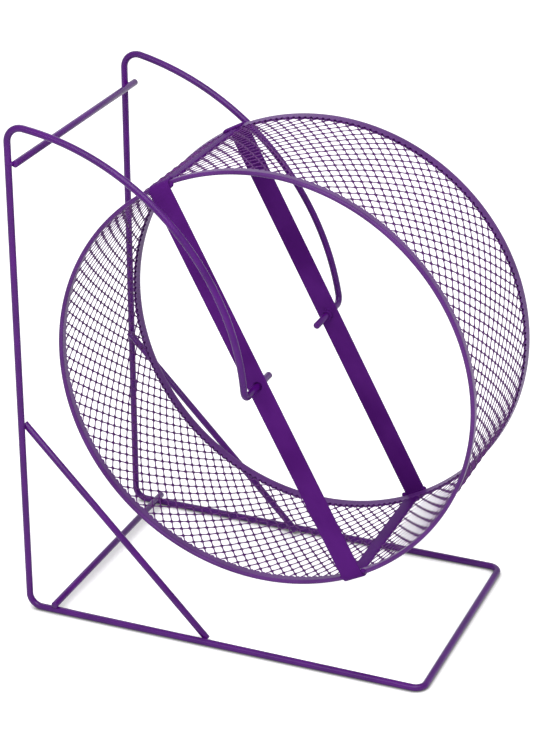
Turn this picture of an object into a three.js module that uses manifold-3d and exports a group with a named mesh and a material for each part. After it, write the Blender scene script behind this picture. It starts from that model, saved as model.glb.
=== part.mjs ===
// A running wheel for a small pet: a drum of diamond wire mesh between two folded rims,
// which turns on two pins at the ends of a free-standing stand of bent wire.
//
// Millimetres, +Z up. The floor is z = 0 and the wheel turns about Y. The near side of the
// stand is towards -Y and its two risers stand at -X. The origin is on the floor, under the
// middle of the whole outline.

import * as THREE from 'three';
import { mergeVertices } from 'three/addons/utils/BufferGeometryUtils.js';
import Module from 'manifold-3d';

// The wheel as a whole
const wheelDiameter = 196.5;    // over the rims
const wheelWidth = 83.6;        // over the rims, along the axle
const groundClearance = 29.75;  // under the wheel

// Rims: thin sheet folded over the edge of the mesh
const rimDepth = 2;             // radial, over both leaves
const rimLip = 5;               // how far the leaves reach over the mesh
const rimSheet = 0.45;
const rimFoldRadius = 0.8;

// Mesh band: one flat lattice of crossing strands, bent round
const meshThickness = 0.6;
const meshStrandWidth = 1.2;
const meshSeat = 0.25;          // clearance of the mesh inside the rims
const meshColumns = 40;         // diamonds round the drum
const meshCourses = 8;          // half diamonds across the drum

// Straps: the crossbars on the sides, and the strips across the outside of the mesh
const strapWidth = 10.2;
const strapThickness = 1;
const strapEdge = 0.2;          // softened edges
const strapStandoff = 1.1;      // room between the rims' faces and the crossbars
const strapBendRadius = 3;      // outside of the folded ends
const strapHook = 4.6;          // how far the folded ends reach over the rims
const strapLean = THREE.MathUtils.degToRad(28); // from upright, top towards the risers
const stripWidth = 8.2;
const stripSeat = 0.2;          // tread strips to the mesh and the rims

// Hub holes in the crossbars
const hubClearance = 0.4;       // radial, round the pin
const hubLipWall = 0.8;
const hubLipHeight = 1.2;       // the drawn edge, inwards from the bar

// Stand: one gauge of wire throughout
const wireDiameter = 3.2;
const sideRoom = 16.4;          // wheel to the wire centres of each side frame
const riserRoom = 11.75;        // wheel to the wire centre of the risers
const baseLength = 194.6;       // riser to front rail, wire centres
const armRise = 11.45;          // crest of the arms above the wheel, wire centre
const nearArmRadius = 117;      // the two arms are bent by hand and differ a little
const farArmRadius = 131.5;
const topBendRadius = 7;
const footBendRadius = 8.5;
const cornerBendRadius = 5;
const pinBendRadius = 4;
const pinOverhang = 13.4;       // past the inner side of the crossbar
const weldGap = 0.05;           // between wires that are welded side by side

// Cross wires and braces
const topWireDrop = 16.2;       // below the crest of the arms
const topWireOverhang = 3.5;    // past the centre of each riser
const floorWireSetback = 13.5;  // from the risers
const floorWireOverhang = 1.6;  // past the centre of each base rail
const braceRise = 93.5;         // its foot rail to its weld on the riser
const braceReach = 89.5;        // its riser to its weld on the foot rail

// Faces of the round forms
const wireSides = 12;
const rimSegments = 2 * meshColumns;
const foldSteps = 2;
const bendSteps = 6;
const armSteps = 24;
const hubSegments = 24;

// Worked out from the sizes above
const wheelRadius = wheelDiameter / 2;
const wireRadius = wireDiameter / 2;
const wireFlat = wireRadius * Math.cos(Math.PI / wireSides); // wire centre to the middle of a facet
const axleHeight = wheelRadius + groundClearance;
const railHeight = wireFlat;
const frameSpacing = wheelWidth + 2 * sideRoom;
const riserSetback = wheelRadius + riserRoom;
const crestHeight = axleHeight + wheelRadius + armRise;
const weldedOffset = 2 * wireFlat + weldGap;
const meshRadius = wheelRadius - rimDepth / 2;
const crossbarInnerFace = wheelWidth / 2 + strapStandoff;

// The axle's place along X, so that the outline is centred on the origin
const axleX = (riserSetback + wireFlat - wheelRadius) / 2;
const riserX = axleX - riserSetback;
const frontX = riserX + baseLength;

const xAxis = new THREE.Vector3(1, 0, 0);
const yAxis = new THREE.Vector3(0, 1, 0);
const zAxis = new THREE.Vector3(0, 0, 1);

const near = -1;
const far = 1;
const top = 1;
const bottom = -1;

const wasm = await Module();
wasm.setup();

// A wire's centre line, drawn as a pen would: straight runs and round bends, each tangent to
// the one before. Its parameter moves on by equal steps, so that every join is met exactly.
class WirePath extends THREE.Curve {
  constructor(start, heading) {
    super();
    this.tip = start.clone();
    this.heading = heading.clone().normalize();
    this.pieces = [];
    this.steps = 0;
  }

  addPiece(steps, at) {
    this.pieces.push({ first: this.steps, steps, at });
    this.steps += steps;
    const end = at(1);
    this.tip = end.point;
    this.heading = end.heading;
    return this;
  }

  straight(length) {
    const start = this.tip.clone();
    const heading = this.heading.clone();
    return this.addPiece(1, (share) => ({
      point: start.clone().addScaledVector(heading, length * share),
      heading: heading.clone(),
    }));
  }

  // A round bend about an axis that is square to the wire, by the right-hand rule
  bend(axis, radius, angle, steps) {
    const start = this.tip.clone();
    const heading = this.heading.clone();
    const inward = axis.clone().cross(heading).normalize();
    return this.addPiece(steps, (share) => {
      const turned = angle * share;
      return {
        point: start.clone()
          .addScaledVector(heading, radius * Math.sin(turned))
          .addScaledVector(inward, radius * (1 - Math.cos(turned))),
        heading: heading.clone().multiplyScalar(Math.cos(turned))
          .addScaledVector(inward, Math.sin(turned)),
      };
    });
  }

  at(t) {
    const step = t * this.steps;
    const piece = this.pieces.findLast((candidate) => candidate.first <= step + 0.5 / this.steps)
      ?? this.pieces[0];
    return piece.at(Math.min(1, Math.max(0, (step - piece.first) / piece.steps)));
  }

  getPoint(t) {
    return this.at(t).point;
  }

  getTangent(t) {
    return this.at(t).heading;
  }

  getUtoTmapping(u) {
    return u;
  }
}

// A round wire along a path, with flats towards the sides, above and below
function wire(path) {
  const section = new THREE.Shape();
  for (let side = 0; side < wireSides; side += 1) {
    const angle = (side + 0.5) * 2 * Math.PI / wireSides;
    const x = wireRadius * Math.cos(angle);
    const y = wireRadius * Math.sin(angle);
    if (side === 0) section.moveTo(x, y);
    else section.lineTo(x, y);
  }
  return new THREE.ExtrudeGeometry(section, { steps: path.steps, extrudePath: path });
}

// Side frames

function sideY(side) {
  return side * frameSpacing / 2;
}

function riser(side) {
  const foot = railHeight + footBendRadius;
  const top = crestHeight - topBendRadius;
  const start = new THREE.Vector3(riserX, sideY(side), foot);
  return wire(new WirePath(start, zAxis).straight(top - foot));
}

// Down from the riser, round the foot bend and forward along the floor
function baseRail(side) {
  const start = new THREE.Vector3(riserX, sideY(side), railHeight + footBendRadius);
  const path = new WirePath(start, zAxis.clone().negate());
  path.bend(yAxis.clone().negate(), footBendRadius, Math.PI / 2, bendSteps);
  path.straight(baseLength - footBendRadius - cornerBendRadius);
  return wire(path);
}

// Across the front, with both corners
function frontBaseRail() {
  const start = new THREE.Vector3(frontX - cornerBendRadius, sideY(near), railHeight);
  const path = new WirePath(start, xAxis);
  path.bend(zAxis, cornerBendRadius, Math.PI / 2, bendSteps);
  path.straight(frameSpacing - 2 * cornerBendRadius);
  path.bend(zAxis, cornerBendRadius, Math.PI / 2, bendSteps);
  return wire(path);
}

// The arm is one wide arc. It leaves the small bend at the top of the riser, and its tangent
// at the other end meets the axle, where the pin is bent inwards. Its centre is found from the
// axle: so far from the axle, and so far from the centre of the top bend.
function armArc(armRadius) {
  const bendX = topBendRadius - riserSetback;
  const bendZ = crestHeight - topBendRadius - axleHeight;
  const toAxle = Math.hypot(armRadius, pinBendRadius);
  const toBend = armRadius - topBendRadius;
  const axleToBend = Math.hypot(bendX, bendZ);
  const along = (toAxle ** 2 - toBend ** 2 + axleToBend ** 2) / (2 * axleToBend);
  const aside = Math.sqrt(toAxle ** 2 - along ** 2);
  const centreX = (along * bendX - aside * bendZ) / axleToBend;
  const centreZ = (along * bendZ + aside * bendX) / axleToBend;
  const startAngle = Math.atan2(bendZ - centreZ, bendX - centreX);
  const endAngle = Math.atan2(-centreZ, -centreX) + Math.atan2(pinBendRadius, armRadius);
  return { topTurn: Math.PI - startAngle, turn: startAngle - endAngle };
}

function axleArm(side, armRadius) {
  const arc = armArc(armRadius);
  const start = new THREE.Vector3(riserX, sideY(side), crestHeight - topBendRadius);
  const path = new WirePath(start, zAxis);
  path.bend(yAxis, topBendRadius, arc.topTurn, bendSteps);
  path.bend(yAxis, armRadius, arc.turn, armSteps);
  const inward = yAxis.clone().multiplyScalar(-side);
  path.bend(path.heading.clone().cross(inward), pinBendRadius, Math.PI / 2, bendSteps);
  return wire(path);
}

// The straight end of the arm's wire, which the wheel hangs on
function axlePin(side) {
  const root = frameSpacing / 2 - pinBendRadius;
  const tip = crossbarInnerFace - pinOverhang;
  const start = new THREE.Vector3(axleX, side * root, axleHeight);
  return wire(new WirePath(start, yAxis.clone().multiplyScalar(-side)).straight(root - tip));
}

// Cross wires and braces

function crossWire(x, z, overhang) {
  const reach = frameSpacing / 2 + overhang;
  return wire(new WirePath(new THREE.Vector3(x, -reach, z), yAxis).straight(2 * reach));
}

function topCrossWire() {
  return crossWire(riserX + weldedOffset, crestHeight - topWireDrop, topWireOverhang);
}

function floorCrossWire() {
  return crossWire(riserX + floorWireSetback, railHeight + weldedOffset, floorWireOverhang);
}

function brace(side) {
  const y = side * (frameSpacing / 2 - weldedOffset);
  const start = new THREE.Vector3(riserX, y, railHeight + braceRise);
  const slope = new THREE.Vector3(braceReach, 0, -braceRise);
  return wire(new WirePath(start, slope).straight(slope.length()));
}

// Wheel

// The folded edging: a rounded fold round the outside, open towards the mesh. Its profile is
// drawn in radius and in distance from the side face of the wheel.
function rimProfile() {
  const outer = wheelRadius;
  const inner = wheelRadius - rimDepth;
  const points = [];
  const fold = (radius, away, startAngle) => {
    for (let step = 0; step <= foldSteps; step += 1) {
      const angle = startAngle - (Math.PI / 2) * step / foldSteps;
      points.push(new THREE.Vector2(
        radius + rimFoldRadius * Math.cos(angle),
        away + rimFoldRadius * Math.sin(angle),
      ));
    }
  };
  points.push(new THREE.Vector2(outer, rimLip));
  fold(outer - rimFoldRadius, rimFoldRadius, 0);
  fold(inner + rimFoldRadius, rimFoldRadius, -Math.PI / 2);
  points.push(new THREE.Vector2(inner, rimLip));
  points.push(new THREE.Vector2(inner + rimSheet, rimLip));
  points.push(new THREE.Vector2(inner + rimSheet, rimSheet));
  points.push(new THREE.Vector2(outer - rimSheet, rimSheet));
  points.push(new THREE.Vector2(outer - rimSheet, rimLip));
  return points;
}

function rim(side) {
  const points = rimProfile().map((point) => new THREE.Vector2(
    point.x,
    side * (wheelWidth / 2 - point.y),
  ));
  if (THREE.ShapeUtils.area(points) < 0) points.reverse();
  points.push(points[0].clone());
  return new THREE.LatheGeometry(points, rimSegments);
}

// The lattice: strands run both ways at the same slant from course to course, and each
// crossing is a small rhombus whose corners are the corners of the gaps around it.
function meshBand() {
  const columnAngle = 2 * Math.PI / meshColumns;
  const halfPitch = meshRadius * columnAngle / 2;
  const edge = wheelWidth / 2 - rimSheet - meshSeat;
  // the outermost crossings stand inside the rims, with their outer corners at the edge
  const cornerShare = meshStrandWidth / (2 * halfPitch);
  let course = 2 * edge / meshCourses;
  course = 2 * (edge - cornerShare * Math.hypot(halfPitch, course)) / meshCourses;
  const strandLength = Math.hypot(halfPitch, course);
  const cornerHeight = meshStrandWidth * strandLength / (2 * halfPitch);
  const cornerAngle = meshStrandWidth * strandLength / (2 * course) / meshRadius;
  const surfaces = [meshRadius + meshThickness / 2, meshRadius - meshThickness / 2];
  const positions = [];

  const corner = (row, column, which, surface) => {
    const sideways = { right: 1, left: -1 }[which] ?? 0;
    const upwards = { top: 1, bottom: -1 }[which] ?? 0;
    const angle = (column + (row % 2) / 2) * columnAngle + sideways * cornerAngle;
    const radius = surfaces[surface];
    return new THREE.Vector3(
      radius * Math.sin(angle),
      (row - meshCourses / 2) * course + upwards * cornerHeight,
      radius * Math.cos(angle),
    );
  };
  const quad = (a, b, c, d) => {
    for (const point of [a, b, c, a, c, d]) positions.push(point.x, point.y, point.z);
  };
  // a patch of the lattice, outside and inside; each patch is four corner references
  const patch = (corners) => {
    quad(...corners.map((reference) => corner(...reference, 0)));
    quad(...corners.map((reference) => corner(...reference, 1)).reverse());
  };
  // the cut edge between two corners, from the outside to the inside
  const wall = (from, to) => {
    quad(corner(...to, 0), corner(...from, 0), corner(...from, 1), corner(...to, 1));
  };

  for (let row = 0; row <= meshCourses; row += 1) {
    for (let column = 0; column < meshColumns; column += 1) {
      const here = (which) => [row, column, which];
      patch([here('right'), here('top'), here('left'), here('bottom')]);
      if (row === 0) {
        wall(here('left'), here('bottom'));
        wall(here('bottom'), here('right'));
      }
      if (row === meshCourses) {
        wall(here('right'), here('top'));
        wall(here('top'), here('left'));
        continue;
      }
      const rightColumn = column + (row % 2);
      const upRight = (which) => [row + 1, rightColumn, which];
      const upLeft = (which) => [row + 1, rightColumn - 1, which];
      patch([here('right'), upRight('bottom'), upRight('left'), here('top')]);
      wall(here('right'), upRight('bottom'));
      wall(upRight('left'), here('top'));
      patch([here('top'), upLeft('right'), upLeft('bottom'), here('left')]);
      wall(here('top'), upLeft('right'));
      wall(upLeft('bottom'), here('left'));
    }
  }
  const geometry = new THREE.BufferGeometry();
  geometry.setAttribute('position', new THREE.Float32BufferAttribute(positions, 3));
  geometry.translate(axleX, 0, axleHeight);
  return geometry;
}

// A strap with softened edges. Its side view is drawn in Y and Z with the axle at zero, its
// width lies along X, and it leans with the others at the end.
function strap(outline, width) {
  const depth = width - 2 * strapEdge;
  const geometry = new THREE.ExtrudeGeometry(outline, {
    depth,
    bevelEnabled: true,
    bevelThickness: strapEdge,
    bevelSize: strapEdge,
    bevelOffset: -strapEdge,
    bevelSegments: 1,
  });
  geometry.applyMatrix4(new THREE.Matrix4().makeBasis(yAxis, zAxis, xAxis));
  geometry.translate(-depth / 2, 0, 0);
  geometry.rotateY(-strapLean);
  geometry.translate(axleX, 0, axleHeight);
  return geometry;
}

function toManifold(geometry) {
  const plain = geometry.clone();
  plain.deleteAttribute('normal');
  plain.deleteAttribute('uv');
  const merged = mergeVertices(plain);
  return new wasm.Manifold(new wasm.Mesh({
    numProp: 3,
    vertProperties: merged.getAttribute('position').array,
    triVerts: Uint32Array.from(merged.getIndex().array),
  }));
}

function fromManifold(solid) {
  const mesh = solid.getMesh();
  const geometry = new THREE.BufferGeometry();
  geometry.setAttribute('position', new THREE.BufferAttribute(mesh.vertProperties, 3));
  geometry.setIndex(new THREE.BufferAttribute(mesh.triVerts, 1));
  return geometry;
}

// A round tool or boss on the axle, between two distances along Y
function onAxle(radius, fromY, toY) {
  const geometry = new THREE.CylinderGeometry(radius, radius, Math.abs(toY - fromY), hubSegments);
  geometry.translate(axleX, (fromY + toY) / 2, axleHeight);
  return geometry;
}

// A crossbar crosses its rim just clear of the face. Its ends are folded inwards and hook over
// the outside of the rim.
function crossbarOutline(side) {
  const half = wheelRadius + weldGap + strapThickness;
  const foot = wheelWidth / 2 - strapHook;
  const bendY = crossbarInnerFace + strapThickness - strapBendRadius;
  const bendZ = half - strapBendRadius;
  const points = [];
  const foldedEnd = (radius, end) => {
    const fold = [new THREE.Vector2(side * foot, end * (bendZ + radius))];
    for (let step = 0; step <= bendSteps; step += 1) {
      const angle = (Math.PI / 2) * (1 - step / bendSteps);
      fold.push(new THREE.Vector2(
        side * (bendY + radius * Math.cos(angle)),
        end * (bendZ + radius * Math.sin(angle)),
      ));
    }
    return fold;
  };
  const outside = strapBendRadius;
  const inside = strapBendRadius - strapThickness;
  points.push(...foldedEnd(outside, top), ...foldedEnd(outside, bottom).reverse());
  points.push(...foldedEnd(inside, bottom), ...foldedEnd(inside, top).reverse());
  return new THREE.Shape(points);
}

// The edge of the hub hole is drawn inwards as a short lip
function crossbar(side) {
  const innerY = side * crossbarInnerFace;
  const outerY = side * (crossbarInnerFace + strapThickness);
  const holeRadius = wireRadius + hubClearance;
  const lipY = innerY - side * hubLipHeight;
  const lip = onAxle(holeRadius + hubLipWall, lipY, (innerY + outerY) / 2);
  const hole = onAxle(holeRadius, lipY - side * strapThickness, outerY + side * strapThickness);
  const plate = strap(crossbarOutline(side), strapWidth);
  return fromManifold(toManifold(plate).add(toManifold(lip)).subtract(toManifold(hole)));
}

// A tread strip lies across the outside of the mesh, between the lips of the rims
function treadStrip(end) {
  const inner = end * (meshRadius + meshThickness / 2 + stripSeat);
  const outer = inner + end * strapThickness;
  const reach = wheelWidth / 2 - rimLip - stripSeat;
  return strap(new THREE.Shape([
    new THREE.Vector2(-reach, inner),
    new THREE.Vector2(reach, inner),
    new THREE.Vector2(reach, outer),
    new THREE.Vector2(-reach, outer),
  ]), stripWidth);
}

// Materials: one purple coating on everything, glossier on the wire than on the strip
const coatedWire = { color: 0x542b6f, roughness: 0.35, metalness: 0.1 };
const coatedRim = { color: 0x6a3a80, roughness: 0.4, metalness: 0.1 };
const coatedStrap = { color: 0x55247a, roughness: 0.45, metalness: 0.1 };
const coatedMesh = { color: 0x5d3f68, roughness: 0.45, metalness: 0.1 };

function piece(name, geometry, finish) {
  const mesh = new THREE.Mesh(geometry, new THREE.MeshStandardMaterial(finish));
  mesh.name = name;
  return mesh;
}

function rimPiece(name, side) {
  const mesh = piece(name, rim(side), coatedRim);
  mesh.position.set(axleX, 0, axleHeight);
  return mesh;
}

function stand() {
  const group = new THREE.Group();
  group.name = 'stand';
  for (const [label, side, armRadius] of [['near', near, nearArmRadius], ['far', far, farArmRadius]]) {
    group.add(piece(`${label}_axle_pin`, axlePin(side), coatedWire));
    group.add(piece(`${label}_axle_arm`, axleArm(side, armRadius), coatedWire));
    group.add(piece(`${label}_riser`, riser(side), coatedWire));
    group.add(piece(`${label}_base_rail`, baseRail(side), coatedWire));
    group.add(piece(`${label}_brace`, brace(side), coatedWire));
  }
  group.add(piece('front_base_rail', frontBaseRail(), coatedWire));
  group.add(piece('top_cross_wire', topCrossWire(), coatedWire));
  group.add(piece('floor_cross_wire', floorCrossWire(), coatedWire));
  return group;
}

function wheel() {
  const group = new THREE.Group();
  group.name = 'wheel';
  group.add(rimPiece('near_rim', near));
  group.add(rimPiece('far_rim', far));
  group.add(piece('mesh_band', meshBand(), coatedMesh));
  group.add(piece('near_crossbar', crossbar(near), coatedStrap));
  group.add(piece('far_crossbar', crossbar(far), coatedStrap));
  group.add(piece('top_tread_strip', treadStrip(top), coatedStrap));
  group.add(piece('bottom_tread_strip', treadStrip(bottom), coatedStrap));
  return group;
}

const hamsterWheel = new THREE.Group();
hamsterWheel.add(stand(), wheel());

export default hamsterWheel;
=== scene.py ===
import math

import bmesh
import bpy
from mathutils import Matrix, Vector


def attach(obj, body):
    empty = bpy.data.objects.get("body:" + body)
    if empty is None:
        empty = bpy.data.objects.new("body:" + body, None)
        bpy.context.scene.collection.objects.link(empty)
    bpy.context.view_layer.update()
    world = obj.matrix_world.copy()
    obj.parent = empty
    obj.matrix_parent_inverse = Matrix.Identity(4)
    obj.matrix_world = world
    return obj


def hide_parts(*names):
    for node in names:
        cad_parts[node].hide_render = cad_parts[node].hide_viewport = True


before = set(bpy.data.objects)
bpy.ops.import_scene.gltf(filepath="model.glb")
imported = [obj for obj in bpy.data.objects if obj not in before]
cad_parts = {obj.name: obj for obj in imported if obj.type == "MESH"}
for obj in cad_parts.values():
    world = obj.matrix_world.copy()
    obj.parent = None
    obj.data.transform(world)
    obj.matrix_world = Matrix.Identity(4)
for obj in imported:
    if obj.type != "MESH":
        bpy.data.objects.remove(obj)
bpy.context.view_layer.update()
print("frame loaded")

# sizes that several pieces share, in metres
axle = Vector((0.0066477, 0, 0.128))  # middle of the wheel
wheel = {
    "radius": 0.09825,
    "width": 0.0836,
    "rimDepth": 0.002,
    "rimLip": 0.005,
}
meshRadius = wheel["radius"] - wheel["rimDepth"] / 2
frameY = 0.0582  # wire centres of the side frames
wireRadius = 0.0016
near, far = -1, 1
along = {"x": Vector((1, 0, 0)), "y": Vector((0, 1, 0)), "z": Vector((0, 0, 1))}


# what all four coatings share: a broad noise for thick and thin places, a fine one for orange peel
coatingPattern = {
    "patchDetail": 3,
    "peelDetail": 1,
    "peelDepth": 0.00004,
    "thickUpTo": 0.35,  # the coat is thick where the broad noise is below this
    "thinFrom": 0.65,
}


def mixColours(tree, factor, first, second):
    mix = tree.nodes.new("ShaderNodeMix")
    mix.data_type = "RGBA"
    tree.links.new(factor, mix.inputs[0])
    tree.links.new(first, mix.inputs[6])
    mix.inputs[7].default_value = (*second, 1)
    return mix.outputs[2]


def coatingVariation():
    group = bpy.data.node_groups.new("coatingVariation", "ShaderNodeTree")
    for name in ("Patch Scale", "Peel Scale"):
        group.interface.new_socket(name, in_out="INPUT", socket_type="NodeSocketFloat")
    for name in ("Shade", "Peel"):
        group.interface.new_socket(name, in_out="OUTPUT", socket_type="NodeSocketFloat")
    nodes, links = group.nodes, group.links
    enter = nodes.new("NodeGroupInput")
    leave = nodes.new("NodeGroupOutput")
    place = nodes.new("ShaderNodeTexCoord")
    patches = nodes.new("ShaderNodeTexNoise")
    patches.inputs["Detail"].default_value = coatingPattern["patchDetail"]
    links.new(place.outputs["Object"], patches.inputs["Vector"])
    links.new(enter.outputs["Patch Scale"], patches.inputs["Scale"])
    links.new(patches.outputs["Fac"], leave.inputs["Shade"])
    peel = nodes.new("ShaderNodeTexNoise")
    peel.inputs["Detail"].default_value = coatingPattern["peelDetail"]
    links.new(place.outputs["Object"], peel.inputs["Vector"])
    links.new(enter.outputs["Peel Scale"], peel.inputs["Scale"])
    links.new(peel.outputs["Fac"], leave.inputs["Peel"])
    return group


variation = coatingVariation()


def coating(name, values):
    material = bpy.data.materials.new(name)
    material.use_nodes = True
    tree = material.node_tree
    nodes, links = tree.nodes, tree.links
    shader = nodes["Principled BSDF"]
    vary = nodes.new("ShaderNodeGroup")
    vary.node_tree = variation
    vary.inputs["Patch Scale"].default_value = values["patchScale"]
    vary.inputs["Peel Scale"].default_value = values["peelScale"]
    tint = nodes.new("ShaderNodeValToRGB")
    tint.color_ramp.elements[0].position = coatingPattern["thickUpTo"]
    tint.color_ramp.elements[0].color = (*values["thick"], 1)
    tint.color_ramp.elements[1].position = coatingPattern["thinFrom"]
    tint.color_ramp.elements[1].color = (*values["thin"], 1)
    links.new(vary.outputs["Shade"], tint.inputs["Fac"])
    colour = tint.outputs["Color"]
    if "knotColour" in values:  # the mesh is darker where its strands join
        knot = nodes.new("ShaderNodeAttribute")
        knot.attribute_name = "knot"
        colour = mixColours(tree, knot.outputs["Fac"], colour, values["knotColour"])
    links.new(colour, shader.inputs["Base Color"])
    gloss = nodes.new("ShaderNodeMapRange")
    gloss.inputs["To Min"].default_value = values["roughness"] - values["roughnessSpread"]
    gloss.inputs["To Max"].default_value = values["roughness"] + values["roughnessSpread"]
    links.new(vary.outputs["Shade"], gloss.inputs["Value"])
    links.new(gloss.outputs["Result"], shader.inputs["Roughness"])
    bump = nodes.new("ShaderNodeBump")
    bump.inputs["Strength"].default_value = values["peelStrength"]
    bump.inputs["Distance"].default_value = coatingPattern["peelDepth"]
    links.new(vary.outputs["Peel"], bump.inputs["Height"])
    links.new(bump.outputs["Normal"], shader.inputs["Normal"])
    shader.inputs["Specular IOR Level"].default_value = values["specular"]
    return material


finishes = {
    "wire_coating": {
        "thick": (0.063, 0.002, 0.135), "thin": (0.086, 0.003, 0.176),
        "roughness": 0.29, "roughnessSpread": 0.04, "specular": 0.24,
        "patchScale": 70, "peelScale": 1500, "peelStrength": 0.12,
    },
    "rim_coating": {
        "thick": (0.080, 0.012, 0.146), "thin": (0.106, 0.022, 0.186),
        "roughness": 0.36, "roughnessSpread": 0.05, "specular": 0.22,
        "patchScale": 60, "peelScale": 1500, "peelStrength": 0.12,
    },
    "mesh_coating": {
        "thick": (0.110, 0.022, 0.165), "thin": (0.135, 0.030, 0.200),
        "knotColour": (0.055, 0.010, 0.088),
        "roughness": 0.55, "roughnessSpread": 0.04, "specular": 0.12,
        "patchScale": 40, "peelScale": 1200, "peelStrength": 0.0,
    },
    "strap_coating": {
        "thick": (0.066, 0.006, 0.132), "thin": (0.092, 0.012, 0.178),
        "roughness": 0.52, "roughnessSpread": 0.04, "specular": 0.03,
        "patchScale": 38, "peelScale": 1300, "peelStrength": 0.10,
    },
}
coatings = {slot: coating(slot, values) for slot, values in finishes.items()}
print("coatings ready")


def newTree(name, sockets):
    tree = bpy.data.node_groups.new(name, "GeometryNodeTree")
    tree.interface.new_socket("Geometry", in_out="INPUT", socket_type="NodeSocketGeometry")
    for socketName, kind in sockets:
        tree.interface.new_socket(socketName, in_out="INPUT", socket_type=kind)
    tree.interface.new_socket("Geometry", in_out="OUTPUT", socket_type="NodeSocketGeometry")
    return tree, tree.nodes.new("NodeGroupInput"), tree.nodes.new("NodeGroupOutput")


def maths(tree, operation, first, second=None):
    node = tree.nodes.new("ShaderNodeMath")
    node.operation = operation
    for socket, value in zip(node.inputs, (first, second)):
        if isinstance(value, (int, float)):
            socket.default_value = value
        elif value is not None:
            tree.links.new(value, socket)
    return node.outputs["Value"]


def endTree(tree, geometry, enter, leave):
    realize = tree.nodes.new("GeometryNodeRealizeInstances")
    paint = tree.nodes.new("GeometryNodeSetMaterial")
    tree.links.new(geometry, realize.inputs["Geometry"])
    tree.links.new(realize.outputs["Geometry"], paint.inputs["Geometry"])
    tree.links.new(enter.outputs["Coating"], paint.inputs["Material"])
    tree.links.new(paint.outputs["Geometry"], leave.inputs["Geometry"])


def growMesh(name, start, tree, values):
    # runs the tree on the starting curve or mesh and keeps the result as a plain mesh
    source = bpy.data.objects.new(name + "Source", start)
    bpy.context.scene.collection.objects.link(source)
    modifier = source.modifiers.new("tree", "NODES")
    modifier.node_group = tree
    for item in tree.interface.items_tree:
        if item.in_out == "INPUT" and item.name in values:
            modifier[item.identifier] = values[item.name]
    evaluated = source.evaluated_get(bpy.context.evaluated_depsgraph_get())
    mesh = bpy.data.meshes.new_from_object(evaluated)
    mesh.name = name
    bpy.data.objects.remove(source)
    return mesh


def placePiece(name, mesh, body, slot, *nodes, sharpAngle=40):
    mesh.shade_smooth()
    mesh.set_sharp_from_angle(angle=math.radians(sharpAngle))
    if not mesh.materials:
        mesh.materials.append(coatings[slot])
    piece = bpy.data.objects.new(name, mesh)
    bpy.context.scene.collection.objects.link(piece)
    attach(piece, body)
    if nodes:
        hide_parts(*nodes)
    return piece


def wireTree():
    # a round section swept along a path, with the thickness of each of its points
    tree, enter, leave = newTree("sweptWire", [
        ("Radius", "NodeSocketFloat"),
        ("Sides", "NodeSocketInt"),
        ("Coating", "NodeSocketMaterial"),
    ])
    section = tree.nodes.new("GeometryNodeCurvePrimitiveCircle")
    sweep = tree.nodes.new("GeometryNodeCurveToMesh")
    sweep.inputs["Fill Caps"].default_value = True
    thickness = tree.nodes.new("GeometryNodeInputRadius")
    tree.links.new(enter.outputs["Radius"], section.inputs["Radius"])
    tree.links.new(enter.outputs["Sides"], section.inputs["Resolution"])
    tree.links.new(enter.outputs["Geometry"], sweep.inputs["Curve"])
    tree.links.new(section.outputs["Curve"], sweep.inputs["Profile Curve"])
    tree.links.new(thickness.outputs["Radius"], sweep.inputs["Scale"])
    endTree(tree, sweep.outputs["Mesh"], enter, leave)
    return tree


sweptWire = wireTree()


def walkWire(start, heading, moves, turnStep=math.radians(5)):
    # moves: ("run", length) or ("bend", axis, radius, angle); returns the points walked
    points, heading = [start.copy()], heading.normalized()
    for kind, *values in moves:
        if kind == "run":
            points.append(points[-1] + heading * values[0])
            continue
        axis, radius, angle = values
        inward = axis.cross(heading).normalized()
        centre = points[-1] + inward * radius
        steps = max(2, math.ceil(angle / turnStep))
        for step in range(1, steps + 1):
            turned = angle * step / steps
            points.append(
                centre
                + heading * (radius * math.sin(turned))
                - inward * (radius * math.cos(turned))
            )
        heading = heading * math.cos(angle) + inward * math.sin(angle)
    return points, heading


def cutEnds(points, cut):
    # a blunt cut: the last bit of each end is a little thinner; returns (point, thickness) pairs
    line = [(point, 1.0) for point in points]
    for end, following in ((0, 1), (-1, -2)):
        tip = points[end]
        inwards = (points[following] - tip).normalized()
        steps = [(tip + inwards * back, scale) for back, scale in cut]
        if end == 0:
            line = steps + line[1:]
        else:
            line = line[:-1] + steps[::-1]
    return line


wireCut = [(0.0, 0.88), (0.00010, 0.96), (0.00022, 1.0)]  # distance from the end, thickness there
wireSides = 20


def wireMesh(name, line):
    curve = bpy.data.curves.new(name, "CURVE")
    curve.dimensions = "3D"
    spline = curve.splines.new("POLY")
    spline.points.add(len(line) - 1)
    for point, (place, scale) in zip(spline.points, line):
        point.co = (*place, 1)
        point.radius = scale
    return growMesh(name, curve, sweptWire, {
        "Radius": wireRadius, "Sides": wireSides, "Coating": coatings["wire_coating"],
    })


# one bent wire from axle pin to axle pin; its bends are radii to the wire's middle
stand = {
    "riserSetback": 0.110,  # from the axle
    "baseLength": 0.1946,
    "crestRise": 0.1097,  # of the arms, above the axle
    "topBend": 0.007,
    "footBend": 0.0060,
    "cornerBend": 0.005,
    "pinBend": 0.004,
    "pinTip": {near: 0.0303, far: 0.0276},  # from the wheel's middle
    "armRadius": {near: 0.117, far: 0.1315},  # the two arms differ a little
    "armStep": math.radians(2),  # turn from one point of an arm's long arc to the next
    "floor": wireRadius,
}
riserX = axle.x - stand["riserSetback"]
crestZ = axle.z + stand["crestRise"]


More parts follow.
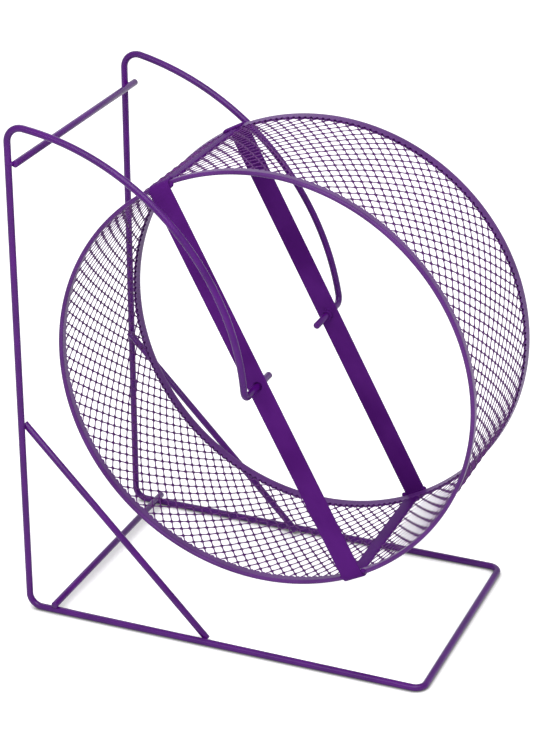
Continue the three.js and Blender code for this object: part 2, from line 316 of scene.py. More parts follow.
def armTurns(armRadius):
    # the arc leaves the top bend and its tangent meets the axle after the pin's bend
    bendX = stand["topBend"] - stand["riserSetback"]
    bendZ = stand["crestRise"] - stand["topBend"]
    toAxle = math.hypot(armRadius, stand["pinBend"])
    toBend = armRadius - stand["topBend"]
    axleToBend = math.hypot(bendX, bendZ)
    share = (toAxle**2 - toBend**2 + axleToBend**2) / (2 * axleToBend)
    aside = math.sqrt(toAxle**2 - share**2)
    centreX = (share * bendX - aside * bendZ) / axleToBend
    centreZ = (share * bendZ + aside * bendX) / axleToBend
    startAngle = math.atan2(bendZ - centreZ, bendX - centreX)
    endAngle = math.atan2(-centreZ, -centreX) + math.atan2(stand["pinBend"], armRadius)
    return math.pi - startAngle, startAngle - endAngle


def armPoints(side):
    armRadius = stand["armRadius"][side]
    topTurn, armTurn = armTurns(armRadius)
    start = Vector((riserX, side * frameY, crestZ - stand["topBend"]))
    points, heading = walkWire(start, along["z"], [
        ("bend", along["y"], stand["topBend"], topTurn),
    ])
    arc, heading = walkWire(points[-1], heading, [
        ("bend", along["y"], armRadius, armTurn),
    ], stand["armStep"])
    inward = along["y"] * -side
    pin = walkWire(arc[-1], heading, [
        ("bend", heading.cross(inward), stand["pinBend"], math.pi / 2),
        ("run", frameY - stand["pinBend"] - stand["pinTip"][side]),
    ])[0]
    return points + arc[1:] + pin[1:]


def standPoints():
    foot = Vector((riserX, -frameY, stand["floor"] + stand["footBend"]))
    rail = ("run", stand["baseLength"] - stand["footBend"] - stand["cornerBend"])
    corner = ("bend", along["z"], stand["cornerBend"], math.pi / 2)
    base = walkWire(foot, -along["z"], [
        ("bend", -along["y"], stand["footBend"], math.pi / 2),
        rail,
        corner,
        ("run", 2 * frameY - 2 * stand["cornerBend"]),
        corner,
        rail,
        ("bend", along["y"], stand["footBend"], math.pi / 2),
    ])[0]
    return armPoints(near)[::-1] + base + armPoints(far)


placePiece(
    "standWire",
    wireMesh("standWire", cutEnds(standPoints(), wireCut)),
    "stand", "wire_coating",
    "near_axle_pin", "near_axle_arm", "near_riser", "near_base_rail", "front_base_rail",
    "far_base_rail", "far_riser", "far_axle_arm", "far_axle_pin",
)
print("stand wire bent")


# cross wires and braces, welded on
crossing = {
    "offset": 2 * wireRadius - 0.00012,  # the wires sink into each other at the welds
    "topDrop": 0.0162,  # from the arms' crest
    "topOverhang": {near: -0.0002, far: 0.0048},  # past the middle of each riser
    "topTilt": {near: -0.0006, far: 0.0008},  # the welded wire isn't quite level
    "floorSetback": 0.0135,
    "floorOverhang": 0.0016,
    "braceRise": 0.0935,
    "braceReach": 0.0895,
    "bead": 0.0012,
    "beadShift": 0.0008,  # a brace's beads lie this far in from its ends
    "beadSeed": 3,
}


def straightWire(name, start, end, *nodes):
    mesh = wireMesh(name, cutEnds([start, end], wireCut))
    placePiece(name, mesh, "stand", "wire_coating", *nodes)


topWire = Vector((riserX + crossing["offset"], 0, crestZ - crossing["topDrop"]))
floorWire = Vector((riserX + crossing["floorSetback"], 0, stand["floor"] + crossing["offset"]))
topEnds = []
for side in (near, far):
    endY = side * (frameY + crossing["topOverhang"][side])
    topEnds.append(topWire + Vector((0, endY, crossing["topTilt"][side])))
floorReach = along["y"] * (frameY + crossing["floorOverhang"])
straightWire("topCrossWire", *topEnds, "top_cross_wire")
straightWire("floorCrossWire", floorWire - floorReach, floorWire + floorReach, "floor_cross_wire")
weldPlaces = []
for side, label in ((near, "near"), (far, "far")):
    braceY = side * (frameY - crossing["offset"])
    high = Vector((riserX, braceY, stand["floor"] + crossing["braceRise"]))
    low = Vector((riserX + crossing["braceReach"], braceY, stand["floor"]))
    straightWire(label + "Brace", high, low, label + "_brace")
    weldPlaces += [
        topWire + Vector((-wireRadius, side * frameY, crossing["topTilt"][side])),
        floorWire + Vector((0, side * frameY, -wireRadius)),
        high + Vector((0, side * wireRadius, -crossing["beadShift"])),
        low + Vector((-crossing["beadShift"], side * wireRadius, 0)),
    ]


weld = {
    "subdivisions": 3,
    "sizes": (0.85, 1.15),  # smallest and largest bead, as a share of its radius
    "lumpScale": 900,
    "lumpShare": 0.5,  # strength of the lumps, as a share of the radius
}


def weldTree():
    # a small lump of metal at each point
    tree, enter, leave = newTree("weldBeads", [
        ("Bead Radius", "NodeSocketFloat"),
        ("Roughness", "NodeSocketFloat"),
        ("Seed", "NodeSocketInt"),
        ("Coating", "NodeSocketMaterial"),
    ])
    bead = tree.nodes.new("GeometryNodeMeshIcoSphere")
    bead.inputs["Subdivisions"].default_value = weld["subdivisions"]
    tree.links.new(enter.outputs["Bead Radius"], bead.inputs["Radius"])
    put = tree.nodes.new("GeometryNodeInstanceOnPoints")
    tree.links.new(enter.outputs["Geometry"], put.inputs["Points"])
    tree.links.new(bead.outputs["Mesh"], put.inputs["Instance"])
    turn = tree.nodes.new("FunctionNodeRandomValue")
    turn.data_type = "FLOAT_VECTOR"
    turn.inputs[1].default_value = (math.tau, math.tau, math.tau)
    tree.links.new(enter.outputs["Seed"], turn.inputs["Seed"])
    tree.links.new(turn.outputs[0], put.inputs["Rotation"])
    size = tree.nodes.new("FunctionNodeRandomValue")
    size.data_type = "FLOAT_VECTOR"
    for socket, share in zip(size.inputs, weld["sizes"]):
        socket.default_value = (share, share, share)
    tree.links.new(enter.outputs["Seed"], size.inputs["Seed"])
    tree.links.new(size.outputs[0], put.inputs["Scale"])
    solid = tree.nodes.new("GeometryNodeRealizeInstances")
    tree.links.new(put.outputs["Instances"], solid.inputs["Geometry"])
    lumps = tree.nodes.new("ShaderNodeTexNoise")
    lumps.inputs["Scale"].default_value = weld["lumpScale"]
    centred = tree.nodes.new("ShaderNodeVectorMath")
    centred.operation = "SUBTRACT"
    centred.inputs[1].default_value = (0.5, 0.5, 0.5)
    tree.links.new(lumps.outputs["Color"], centred.inputs[0])
    scaled = tree.nodes.new("ShaderNodeVectorMath")
    scaled.operation = "SCALE"
    tree.links.new(centred.outputs["Vector"], scaled.inputs[0])
    tree.links.new(enter.outputs["Roughness"], scaled.inputs["Scale"])
    move = tree.nodes.new("GeometryNodeSetPosition")
    tree.links.new(solid.outputs["Geometry"], move.inputs["Geometry"])
    tree.links.new(scaled.outputs["Vector"], move.inputs["Offset"])
    endTree(tree, move.outputs["Geometry"], enter, leave)
    return tree


weldBeads = weldTree()


def weldMesh(name, places, slot, radius, seed):
    points = bpy.data.meshes.new(name)
    points.from_pydata([tuple(place) for place in places], [], [])
    return growMesh(name, points, weldBeads, {
        "Bead Radius": radius, "Roughness": radius * weld["lumpShare"],
        "Seed": seed, "Coating": coatings[slot],
    })


placePiece(
    "standWelds",
    weldMesh("standWelds", weldPlaces, "wire_coating", crossing["bead"], crossing["beadSeed"]),
    "stand", "wire_coating",
)
print("cross wires and braces welded")


# sheet folded over the edge of the mesh, pinched between the strands
rim = {
    "sheet": 0.00045,
    "fold": 0.0009,  # outside radius
    "mouth": 0.00062,  # half the rim's depth where its lips hold the mesh
    "lipRound": 0.00012,
    "lipPower": 6.0,  # keeps scallops and pinches to the lips' last part
    "scallops": 214,
    "scallopDepth": 0.00070,
    "segmentsPerScallop": 4,
    "pinch": 0.00012,
    "foldSteps": 4,
    "taperSteps": 6,
    "merge": 1e-7,  # points closer than this become one
}


def roundTo(points, centre, radius, start, end):
    for step in range(rim["foldSteps"] + 1):
        angle = math.radians(start + (end - start) * step / rim["foldSteps"])
        points.append((
            centre[0] + radius * math.cos(angle),
            centre[1] + radius * math.sin(angle),
        ))


def rimProfile():
    # across: outwards from the rim's middle radius; along: from the side face towards the mesh
    half, lip, sheet, fold = wheel["rimDepth"] / 2, wheel["rimLip"], rim["sheet"], rim["fold"]
    taper = []
    for step in range(1, rim["taperSteps"] + 1):
        share = step / rim["taperSteps"]
        ease = share * share * (3 - 2 * share)  # slow, fast, slow
        taper.append((half - (half - rim["mouth"]) * ease, fold + (lip - fold) * share))
    corner = rim["lipRound"]
    tip = [(rim["mouth"] - corner, lip), (rim["mouth"], lip - corner)]
    points = tip + taper[-2::-1]
    roundTo(points, (half - fold, fold), fold, 0, -90)
    roundTo(points, (fold - half, fold), fold, -90, -180)
    points += [(-across, depth) for across, depth in taper[:-1] + tip[::-1]]
    points += [(sheet - across, depth) for across, depth in taper[::-1]]
    points += [(sheet - half, fold), (sheet - half, sheet)]
    points += [(half - sheet, sheet), (half - sheet, fold)]
    points += [(across - sheet, depth) for across, depth in taper]
    return points


def rimTree():
    tree, enter, leave = newTree("foldedRim", [
        ("Radius", "NodeSocketFloat"),
        ("Segments", "NodeSocketInt"),
        ("Lip", "NodeSocketFloat"),
        ("Scallops", "NodeSocketFloat"),
        ("Scallop Depth", "NodeSocketFloat"),
        ("Pinch", "NodeSocketFloat"),
        ("Coating", "NodeSocketMaterial"),
    ])
    links = tree.links
    ring = tree.nodes.new("GeometryNodeCurvePrimitiveCircle")
    links.new(enter.outputs["Radius"], ring.inputs["Radius"])
    links.new(enter.outputs["Segments"], ring.inputs["Resolution"])
    sweep = tree.nodes.new("GeometryNodeCurveToMesh")
    links.new(ring.outputs["Curve"], sweep.inputs["Curve"])
    links.new(enter.outputs["Geometry"], sweep.inputs["Profile Curve"])
    # the profile runs down from the side face, so -z is the way to the mesh
    where = tree.nodes.new("GeometryNodeInputPosition")
    split = tree.nodes.new("ShaderNodeSeparateXYZ")
    links.new(where.outputs["Position"], split.inputs["Vector"])
    angle = maths(tree, "ARCTAN2", split.outputs["Y"], split.outputs["X"])
    wave = maths(tree, "COSINE", maths(tree, "MULTIPLY", angle, enter.outputs["Scallops"]))
    depth = maths(tree, "MULTIPLY", split.outputs["Z"], -1.0)
    share = maths(tree, "DIVIDE", depth, enter.outputs["Lip"])
    lipMask = maths(tree, "POWER", maths(tree, "MAXIMUM", share, 0.0), rim["lipPower"])
    scallop = maths(tree, "MULTIPLY", wave, enter.outputs["Scallop Depth"])
    inOut = maths(tree, "MULTIPLY", scallop, lipMask)
    radius = maths(tree, "SQRT", maths(
        tree, "ADD",
        maths(tree, "MULTIPLY", split.outputs["X"], split.outputs["X"]),
        maths(tree, "MULTIPLY", split.outputs["Y"], split.outputs["Y"]),
    ))
    side = maths(tree, "SIGN", maths(tree, "SUBTRACT", radius, enter.outputs["Radius"]))
    squeeze = maths(
        tree, "MULTIPLY",
        maths(tree, "MULTIPLY", wave, side),
        maths(tree, "MULTIPLY", lipMask, enter.outputs["Pinch"]),
    )
    grow = maths(tree, "DIVIDE", squeeze, radius)
    offset = tree.nodes.new("ShaderNodeCombineXYZ")
    links.new(maths(tree, "MULTIPLY", split.outputs["X"], grow), offset.inputs["X"])
    links.new(maths(tree, "MULTIPLY", split.outputs["Y"], grow), offset.inputs["Y"])
    links.new(inOut, offset.inputs["Z"])
    move = tree.nodes.new("GeometryNodeSetPosition")
    links.new(sweep.outputs["Mesh"], move.inputs["Geometry"])
    links.new(offset.outputs["Vector"], move.inputs["Offset"])
    endTree(tree, move.outputs["Geometry"], enter, leave)
    return tree


foldedRim = rimTree()


def rimMesh(name, side):
    curve = bpy.data.curves.new(name, "CURVE")
    curve.dimensions = "3D"
    spline = curve.splines.new("POLY")
    profile = rimProfile()
    spline.points.add(len(profile) - 1)
    for point, (across, inwards) in zip(spline.points, profile):
        point.co = (across, inwards, 0, 1)
    spline.use_cyclic_u = True
    mesh = growMesh(name, curve, foldedRim, {
        "Radius": meshRadius, "Lip": wheel["rimLip"],
        "Segments": rim["scallops"] * rim["segmentsPerScallop"],
        "Scallops": float(rim["scallops"]), "Scallop Depth": rim["scallopDepth"],
        "Pinch": rim["pinch"], "Coating": coatings["rim_coating"],
    })
    # the ring's own axis is Z with the side face at zero: stand it up at its side of the wheel
    turn = Matrix.Rotation(math.radians(90 if side == near else -90), 4, "X")
    mesh.transform(Matrix.Translation(axle + along["y"] * side * wheel["width"] / 2) @ turn)
    return fixNormals(mesh)


def fixNormals(mesh):
    work = bmesh.new()
    work.from_mesh(mesh)
    bmesh.ops.remove_doubles(work, verts=work.verts, dist=rim["merge"])
    bmesh.ops.recalc_face_normals(work, faces=work.faces)
    work.to_mesh(mesh)
    work.free()
    return mesh


placePiece("nearRim", rimMesh("nearRim", near), "wheel", "rim_coating", "near_rim")
placePiece("farRim", rimMesh("farRim", far), "wheel", "rim_coating", "far_rim")
print("rims folded")


# two families of strands that cross, thicker where they join
meshBand = {
    "columns": 107,  # diamonds round the drum
    "courses": 22,  # half diamonds across it
    "coursePitch": 0.003736,
    "strand": 0.00033,
    "knot": 0.00074,
    "knotPower": 8.0,  # keeps a knot's thickness close to the crossing
    "flatness": 0.62,  # the strands are flattened along with the sheet
    "weave": 0.00012,  # how far one family passes over the other
    "stepsPerCourse": 4,
    "sides": 5,
    "sharpAngle": 80,
}


def meshTree():
    tree, enter, leave = newTree("strandMesh", [
        ("Radius", "NodeSocketFloat"),
        ("Columns", "NodeSocketInt"),
        ("Courses", "NodeSocketInt"),
        ("Course Pitch", "NodeSocketFloat"),
        ("Steps per Course", "NodeSocketInt"),
        ("Strand Radius", "NodeSocketFloat"),
        ("Knot Radius", "NodeSocketFloat"),
        ("Flatness", "NodeSocketFloat"),
        ("Weave", "NodeSocketFloat"),
        ("Sides", "NodeSocketInt"),
        ("Coating", "NodeSocketMaterial"),
    ])
    links = tree.links
    columnAngle = maths(tree, "DIVIDE", math.tau, enter.outputs["Columns"])
    families = tree.nodes.new("GeometryNodeJoinGeometry")
    for hand in (1.0, -1.0):
        # one point for each strand carries the angle at which it starts
        starts = tree.nodes.new("GeometryNodePoints")
        links.new(enter.outputs["Columns"], starts.inputs["Count"])
        number = tree.nodes.new("GeometryNodeInputIndex")
        keep = tree.nodes.new("GeometryNodeStoreNamedAttribute")
        keep.data_type = "FLOAT"
        keep.inputs["Name"].default_value = "startAngle"
        links.new(starts.outputs["Points"], keep.inputs["Geometry"])
        turned = maths(tree, "MULTIPLY", number.outputs["Index"], columnAngle)
        links.new(turned, keep.inputs["Value"])
        line = tree.nodes.new("GeometryNodeCurvePrimitiveLine")
        line.inputs["End"].default_value = (0, 1, 0)
        cut = tree.nodes.new("GeometryNodeResampleCurve")
        links.new(line.outputs["Curve"], cut.inputs["Curve"])
        courses, stepsEach = enter.outputs["Courses"], enter.outputs["Steps per Course"]
        steps = maths(tree, "MULTIPLY", courses, stepsEach)
        links.new(maths(tree, "ADD", steps, 1), cut.inputs["Count"])
        spread = tree.nodes.new("GeometryNodeInstanceOnPoints")
        links.new(keep.outputs["Geometry"], spread.inputs["Points"])
        links.new(cut.outputs["Curve"], spread.inputs["Instance"])
        solid = tree.nodes.new("GeometryNodeRealizeInstances")
        links.new(spread.outputs["Instances"], solid.inputs["Geometry"])
        # share of the way across, counted in courses
        where = tree.nodes.new("GeometryNodeInputPosition")
        split = tree.nodes.new("ShaderNodeSeparateXYZ")
        links.new(where.outputs["Position"], split.inputs["Vector"])
        course = maths(tree, "MULTIPLY", split.outputs["Y"], enter.outputs["Courses"])
        halfway = maths(tree, "DIVIDE", enter.outputs["Courses"], 2.0)
        fromMiddle = maths(tree, "SUBTRACT", course, halfway)
        start = tree.nodes.new("GeometryNodeInputNamedAttribute")
        start.data_type = "FLOAT"
        start.inputs["Name"].default_value = "startAngle"
        halfTurn = maths(tree, "MULTIPLY", columnAngle, hand / 2)
        slant = maths(tree, "MULTIPLY", course, halfTurn)
        angle = maths(tree, "ADD", start.outputs["Attribute"], slant)
        beat = maths(tree, "COSINE", maths(tree, "MULTIPLY", course, math.pi))
        lift = maths(tree, "MULTIPLY", beat, enter.outputs["Weave"])
        over = maths(tree, "MULTIPLY", lift, hand)
        radius = maths(tree, "ADD", enter.outputs["Radius"], over)
        place = tree.nodes.new("ShaderNodeCombineXYZ")
        placeX = maths(tree, "MULTIPLY", radius, maths(tree, "SINE", angle))
        placeY = maths(tree, "MULTIPLY", fromMiddle, enter.outputs["Course Pitch"])
        placeZ = maths(tree, "MULTIPLY", radius, maths(tree, "COSINE", angle))
        for value, axis in ((placeX, "X"), (placeY, "Y"), (placeZ, "Z")):
            links.new(value, place.inputs[axis])
        # thickness first, because it reads the straight line's own course
        thin, thick = enter.outputs["Strand Radius"], enter.outputs["Knot Radius"]
        swell = maths(tree, "POWER", maths(tree, "ABSOLUTE", beat), meshBand["knotPower"])
        extra = maths(tree, "MULTIPLY", swell, maths(tree, "SUBTRACT", thick, thin))
        thickness = maths(tree, "ADD", thin, extra)
        mark = tree.nodes.new("GeometryNodeStoreNamedAttribute")
        mark.data_type = "FLOAT"
        mark.inputs["Name"].default_value = "knot"
        links.new(solid.outputs["Geometry"], mark.inputs["Geometry"])
        links.new(swell, mark.inputs["Value"])
        thicken = tree.nodes.new("GeometryNodeSetCurveRadius")
        links.new(mark.outputs["Geometry"], thicken.inputs["Curve"])
        links.new(thickness, thicken.inputs["Radius"])
        wrap = tree.nodes.new("GeometryNodeSetPosition")
        links.new(thicken.outputs["Curve"], wrap.inputs["Geometry"])
        links.new(place.outputs["Vector"], wrap.inputs["Position"])
        links.new(wrap.outputs["Geometry"], families.inputs["Geometry"])
    section = tree.nodes.new("GeometryNodeCurvePrimitiveCircle")
    section.inputs["Radius"].default_value = 1
    links.new(enter.outputs["Sides"], section.inputs["Resolution"])
    thicknessOf = tree.nodes.new("GeometryNodeInputRadius")
    sweep = tree.nodes.new("GeometryNodeCurveToMesh")
    sweep.inputs["Fill Caps"].default_value = True
    links.new(families.outputs["Geometry"], sweep.inputs["Curve"])
    links.new(section.outputs["Curve"], sweep.inputs["Profile Curve"])
    links.new(thicknessOf.outputs["Radius"], sweep.inputs["Scale"])
    # flatten towards the drum's surface
    where = tree.nodes.new("GeometryNodeInputPosition")
    split = tree.nodes.new("ShaderNodeSeparateXYZ")
    links.new(where.outputs["Position"], split.inputs["Vector"])
    square = [maths(tree, "MULTIPLY", split.outputs[axis], split.outputs[axis]) for axis in "XZ"]
    radius = maths(tree, "SQRT", maths(tree, "ADD", *square))
    above = maths(tree, "SUBTRACT", radius, enter.outputs["Radius"])
    pressed = maths(
        tree, "ADD", enter.outputs["Radius"],
        maths(tree, "MULTIPLY", above, enter.outputs["Flatness"]),
    )
    share = maths(tree, "DIVIDE", pressed, radius)
    place = tree.nodes.new("ShaderNodeCombineXYZ")
    links.new(maths(tree, "MULTIPLY", split.outputs["X"], share), place.inputs["X"])
    links.new(split.outputs["Y"], place.inputs["Y"])
    links.new(maths(tree, "MULTIPLY", split.outputs["Z"], share), place.inputs["Z"])
    flat = tree.nodes.new("GeometryNodeSetPosition")
    links.new(sweep.outputs["Mesh"], flat.inputs["Geometry"])
    links.new(place.outputs["Vector"], flat.inputs["Position"])
    endTree(tree, flat.outputs["Geometry"], enter, leave)
    return tree


strandMesh = growMesh("meshBand", bpy.data.meshes.new("meshBandStart"), meshTree(), {
    "Radius": meshRadius, "Columns": meshBand["columns"], "Courses": meshBand["courses"],
    "Course Pitch": meshBand["coursePitch"], "Steps per Course": meshBand["stepsPerCourse"],
    "Strand Radius": meshBand["strand"], "Knot Radius": meshBand["knot"],
    "Flatness": meshBand["flatness"], "Weave": meshBand["weave"],
    "Sides": meshBand["sides"], "Coating": coatings["mesh_coating"],
})
strandMesh.transform(Matrix.Translation(axle))
placePiece(
    "meshBand", strandMesh, "wheel", "mesh_coating", "mesh_band",
    sharpAngle=meshBand["sharpAngle"],
)
print("mesh band stretched:", len(strandMesh.polygons), "faces")


# crossbars with folded ends, and strips across the tread
strap = {
    "width": 0.0102,
    "thickness": 0.001,
    "lean": math.radians(28),
    "standoff": 0.0011,  # clear of the rims' side faces
    "bend": 0.003,
    "bendSteps": 8,
    "hook": 0.0046,  # reach of the folded ends over the rims
    "seat": 0.00035,  # how deep the folded ends sit in the rims
    "tipDrop": 0.0004,  # the folded ends lean in towards their tips
    "tipLength": 0.0016,
    "stripWidth": 0.0082,
    "stripSteps": 8,
    "sink": 0.00055,  # how deep the strips swallow the mesh
    "edge": 0.00028,  # rounding of the sheared edges
    "edgeSegments": 3,
    "edgeAngle": math.radians(50),
    "sharpAngle": 35,
}
hub = {
    "hole": 0.00168,
    "wall": 0.0008,
    "lip": 0.0028,
    "lipEdge": 0.0001,
    "draw": 0.0009,  # rounding from the bar's face into the hole
    "drawSteps": 5,
    "fillet": 0.0003,  # where the lip leaves the bar's inner face
    "segments": 40,
    "cutterCore": 0.0001,  # left open along the cutter's axis
    "cutterStart": 0.001,  # from the wheel's middle
}
lean = Matrix.Translation(axle) @ Matrix.Rotation(-strap["lean"], 4, "Y")


def strapMesh(name, middle, width):
    # middle: points (y, z) down the middle of the strap's thickness, seen from the side
    work = bmesh.new()
    rows = []
    for number, point in enumerate(middle):
        before = Vector(middle[max(0, number - 1)])
        after = Vector(middle[min(len(middle) - 1, number + 1)])
        way = (after - before).normalized()
        across = Vector((-way.y, way.x)) * strap["thickness"] / 2
        row = []
        for x, sign in ((-1, -1), (1, -1), (1, 1), (-1, 1)):
            spot = Vector(point) + across * sign
            row.append(work.verts.new((x * width / 2, spot.x, spot.y)))
        rows.append(row)
    for first, second in zip(rows, rows[1:]):
        for corner in range(4):
            following = (corner + 1) % 4
            work.faces.new((first[corner], first[following], second[following], second[corner]))
    work.faces.new(rows[0][::-1])
    work.faces.new(rows[-1])
    bmesh.ops.recalc_face_normals(work, faces=work.faces)
    mesh = bpy.data.meshes.new(name)
    work.to_mesh(mesh)
    work.free()
    return mesh


def crossbarMiddle(side):
    face = wheel["width"] / 2 + strap["standoff"] + strap["thickness"] / 2
    end = wheel["radius"] - strap["seat"] + strap["thickness"] / 2
    radius = strap["bend"] - strap["thickness"] / 2
    tipY = wheel["width"] / 2 - strap["hook"]
    half = [(tipY, end - strap["tipDrop"]), (tipY + strap["tipLength"], end)]
    for step in range(strap["bendSteps"] + 1):
        angle = math.radians(90 - 90 * step / strap["bendSteps"])
        bendY = face - radius + radius * math.cos(angle)
        bendZ = end - radius + radius * math.sin(angle)
        half.append((bendY, bendZ))
    line = half + [(y, -z) for y, z in reversed(half)]
    return [(side * y, z) for y, z in line]


def applyModifiers(piece):
    evaluated = piece.evaluated_get(bpy.context.evaluated_depsgraph_get())
    mesh = bpy.data.meshes.new_from_object(evaluated)
    bpy.data.objects.remove(piece)
    return mesh


def softenEdges(mesh, cutter=None):
    piece = bpy.data.objects.new(mesh.name, mesh)
    bpy.context.scene.collection.objects.link(piece)
    soften = piece.modifiers.new("softEdges", "BEVEL")
    soften.width = strap["edge"]
    soften.segments = strap["edgeSegments"]
    soften.limit_method = "ANGLE"
    soften.angle_limit = strap["edgeAngle"]
    if cutter:
        hole = piece.modifiers.new("hubHole", "BOOLEAN")
        hole.operation = "DIFFERENCE"
        hole.object = cutter
        hole.solver = "EXACT"
    return applyModifiers(piece)


def lathe(profile, segments):
    # profile: (radius, y) points of a closed loop, turned about Y
    work = bmesh.new()
    rings = []
    for step in range(segments):
        angle = math.tau * step / segments
        rings.append([
            work.verts.new((radius * math.sin(angle), y, radius * math.cos(angle)))
            for radius, y in profile
        ])
    for step in range(segments):
        first, second = rings[step], rings[(step + 1) % segments]
        for place in range(len(profile)):
            following = (place + 1) % len(profile)
            work.faces.new((first[place], first[following], second[following], second[place]))
    bmesh.ops.recalc_face_normals(work, faces=work.faces)
    mesh = bpy.data.meshes.new("turned")
    work.to_mesh(mesh)
    work.free()
    return mesh


def drawnHub(side):
    # the bar's sheet turns in round the hole and ends in a short lip
    outerY = wheel["width"] / 2 + strap["standoff"] + strap["thickness"]
    innerY = outerY - strap["thickness"]
    lipY = innerY - hub["lip"]
    hole, draw, edge, fillet = hub["hole"], hub["draw"], hub["lipEdge"], hub["fillet"]
    outside = hole + hub["wall"]
    profile = []
    for step in range(hub["drawSteps"] + 1):
        angle = math.radians(90 + 90 * step / hub["drawSteps"])
        drawY = outerY - draw + draw * math.sin(angle)
        profile.append((hole + draw + draw * math.cos(angle), drawY))
    profile += [(hole, lipY + edge), (hole + edge, lipY)]
    profile += [(outside - edge, lipY), (outside, lipY + edge)]
    profile += [(outside, innerY - fillet), (outside + fillet, innerY), (hole + draw, innerY)]
    return lathe([(radius, side * y) for radius, y in profile], hub["segments"])


def joinMeshes(name, meshes):
    work = bmesh.new()
    for mesh in meshes:
        work.from_mesh(mesh)
    joined = bpy.data.meshes.new(name)
    work.to_mesh(joined)
    work.free()
    return joined


def crossbar(name, side, node):
    core, radius = hub["cutterCore"], hub["hole"] + hub["draw"]
    start, reach = side * hub["cutterStart"], side * wheel["width"]
    bore = [(core, start), (radius, start), (radius, reach), (core, reach)]
    cutter = bpy.data.objects.new("hubCutter", lathe(bore, hub["segments"]))
    bpy.context.scene.collection.objects.link(cutter)
    plate = softenEdges(strapMesh(name, crossbarMiddle(side), strap["width"]), cutter)
    bpy.data.objects.remove(cutter)
    mesh = joinMeshes(name, [plate, drawnHub(side)])
    mesh.transform(lean)
    placePiece(name, mesh, "wheel", "strap_coating", node, sharpAngle=strap["sharpAngle"])


crossbar("nearCrossbar", near, "near_crossbar")
crossbar("farCrossbar", far, "far_crossbar")


def treadStrip(name, end, node):
    middle = meshRadius - strap["sink"] + strap["thickness"] / 2
    reach = wheel["width"] / 2 - wheel["rimLip"] / 2
    steps = strap["stripSteps"]
    line = [(-reach + 2 * reach * step / steps, end * middle) for step in range(steps + 1)]
    mesh = softenEdges(strapMesh(name, line, strap["stripWidth"]))
    mesh.transform(lean)
    placePiece(name, mesh, "wheel", "strap_coating", node, sharpAngle=strap["sharpAngle"])


treadStrip("topTreadStrip", 1, "top_tread_strip")
treadStrip("bottomTreadStrip", -1, "bottom_tread_strip")
print("straps folded")


# weld beads where the straps meet the rims; their places are from the axle, before the bars' lean
wheelWelds = {
    "hook": {"across": 0.0032, "outwards": 0.0368, "rise": 0.0983, "bead": 0.0008, "seed": 8},
    "corner": {"across": 0.0054, "outwards": 0.0422, "rise": 0.0961, "bead": 0.0012, "seed": 5},
}


def wheelWeldMesh(kind):
    # the same place at both ends of both bars, left and right
    values = wheelWelds[kind]
    places = [
        lean @ Vector((left * values["across"], side * values["outwards"], end * values["rise"]))
        for side in (near, far) for end in (1, -1) for left in (-1, 1)
    ]
    return weldMesh(kind + "Welds", places, "strap_coating", values["bead"], values["seed"])


placePiece(
    "wheelWelds",
    joinMeshes("wheelWelds", [wheelWeldMesh(kind) for kind in wheelWelds]),
    "wheel", "strap_coating",
)
print("wheel welded")


# floor, lamps and surroundings
studio = {
    "floorHalf": 6,
    "floorDrop": 0.00002,  # keeps the floor just clear of the base rails
    "floorColour": (0.90, 0.90, 0.90),
    "floorRoughness": 0.9,
    "floorLift": (0.62, 0.80),  # own light of the floor, close by and far away
    "floorLiftReach": (0.2, 0.9),  # distances from the middle at which those two hold
    "contactReach": 0.007,  # how far from a wire the floor darkens
    "contactOpen": (0.32, 0.92),  # openness where that shade is full and where it ends
    "contactShade": 0.24,  # the floor's brightness right beside a wire
    "worldColour": (1.0, 1.0, 1.0),
    "worldStrength": 0.42,
    "lamps": [
        {"name": "key", "place": (0.31, -0.48, 1.18), "size": (0.80, 0.60), "power": 8.0},
        {"name": "front", "place": (0.05, -1.06, 0.88), "size": (1.10, 0.30), "power": 5.5},
        {"name": "back", "place": (-0.45, 0.50, 0.80), "size": (0.40, 0.40), "power": 1.2},
    ],
}


def seenDirectly(tree):
    # 1 for rays from the camera, a reflection or glass, else 0
    lightPath = tree.nodes.new("ShaderNodeLightPath")
    rays = lightPath.outputs
    direct = maths(tree, "MAXIMUM", rays["Is Camera Ray"], rays["Is Glossy Ray"])
    return maths(tree, "MAXIMUM", direct, rays["Is Transmission Ray"])


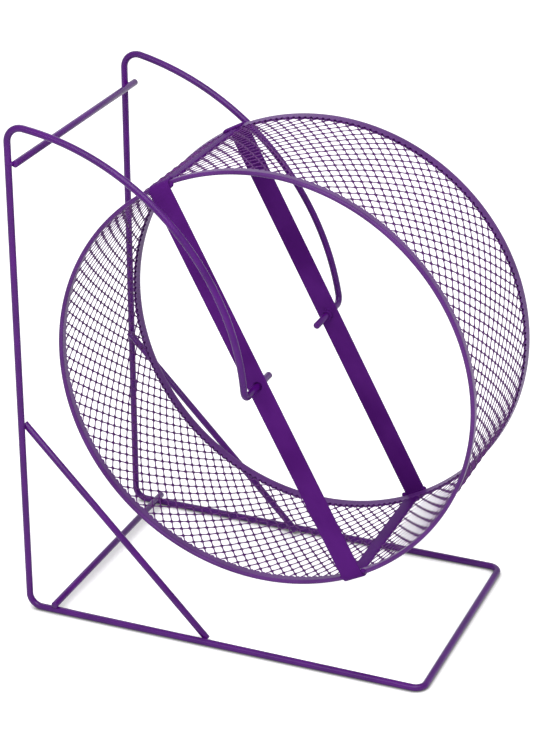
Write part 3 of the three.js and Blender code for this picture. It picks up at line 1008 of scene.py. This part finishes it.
def floorMaterial():
    material = bpy.data.materials.new("paleFloor")
    material.use_nodes = True
    nodes, links = material.node_tree.nodes, material.node_tree.links
    shader = nodes["Principled BSDF"]
    contact = nodes.new("ShaderNodeAmbientOcclusion")
    contact.inputs["Distance"].default_value = studio["contactReach"]
    shade = nodes.new("ShaderNodeMapRange")
    shade.inputs["From Min"].default_value = studio["contactOpen"][0]
    shade.inputs["From Max"].default_value = studio["contactOpen"][1]
    shade.inputs["To Min"].default_value = studio["contactShade"]
    links.new(contact.outputs["AO"], shade.inputs["Value"])
    paint = nodes.new("ShaderNodeVectorMath")
    paint.operation = "SCALE"
    paint.inputs[0].default_value = studio["floorColour"]
    links.new(shade.outputs["Result"], paint.inputs["Scale"])
    links.new(paint.outputs["Vector"], shader.inputs["Base Color"])
    shader.inputs["Roughness"].default_value = studio["floorRoughness"]
    shader.inputs["Specular IOR Level"].default_value = 0.0
    place = nodes.new("ShaderNodeTexCoord")
    distance = nodes.new("ShaderNodeVectorMath")
    distance.operation = "LENGTH"
    links.new(place.outputs["Object"], distance.inputs[0])
    glow = nodes.new("ShaderNodeMapRange")
    glow.interpolation_type = "SMOOTHSTEP"
    glow.inputs["From Min"].default_value = studio["floorLiftReach"][0]
    glow.inputs["From Max"].default_value = studio["floorLiftReach"][1]
    glow.inputs["To Min"].default_value = studio["floorLift"][0]
    glow.inputs["To Max"].default_value = studio["floorLift"][1]
    links.new(distance.outputs["Value"], glow.inputs["Value"])
    seen = seenDirectly(material.node_tree)
    lift = maths(material.node_tree, "MULTIPLY", seen, glow.outputs["Result"])
    links.new(paint.outputs["Vector"], shader.inputs["Emission Color"])
    links.new(lift, shader.inputs["Emission Strength"])
    return material


floorMesh = bpy.data.meshes.new("floor")
floorCorners = [
    (x * studio["floorHalf"], y * studio["floorHalf"], 0)
    for x, y in ((-1, -1), (1, -1), (1, 1), (-1, 1))
]
floorMesh.from_pydata(floorCorners, [], [(0, 1, 2, 3)])
floorMesh.materials.append(floorMaterial())
floor = bpy.data.objects.new("floor", floorMesh)
bpy.context.scene.collection.objects.link(floor)
floor.location.z = -studio["floorDrop"]

world = bpy.data.worlds.new("studio")
bpy.context.scene.world = world
world.use_nodes = True
background = world.node_tree.nodes["Background"]
background.inputs["Color"].default_value = (*studio["worldColour"], 1)
whiter = maths(
    world.node_tree, "MULTIPLY", seenDirectly(world.node_tree), 1 - studio["worldStrength"]
)
level = maths(world.node_tree, "ADD", whiter, studio["worldStrength"])
world.node_tree.links.new(level, background.inputs["Strength"])

for lamp in studio["lamps"]:
    light = bpy.data.lights.new(lamp["name"], "AREA")
    light.energy = lamp["power"]
    light.shape = "RECTANGLE"
    light.size, light.size_y = lamp["size"]
    lightObject = bpy.data.objects.new(lamp["name"], light)
    lightObject.location = lamp["place"]
    aim = axle - lightObject.location
    lightObject.rotation_euler = aim.to_track_quat("-Z", "Y").to_euler()
    bpy.context.scene.collection.objects.link(lightObject)

photoView = {
    "place": axle + Vector((0.3430, -0.8689, 0.4215)),
    "pan": math.radians(22.248),
    "tilt": math.radians(24.840),
    "lens": 110.0,
    "sensor": 36,
}
cameraData = bpy.data.cameras.new("photoView")
cameraData.lens = photoView["lens"]
cameraData.sensor_width = photoView["sensor"]
camera = bpy.data.objects.new("photoView", cameraData)
camera.location = photoView["place"]
camera.rotation_euler = (math.pi / 2 - photoView["tilt"], 0, photoView["pan"])
bpy.context.scene.collection.objects.link(camera)
bpy.context.scene.camera = camera
bpy.context.scene.view_settings.view_transform = "Standard"
print("studio set")
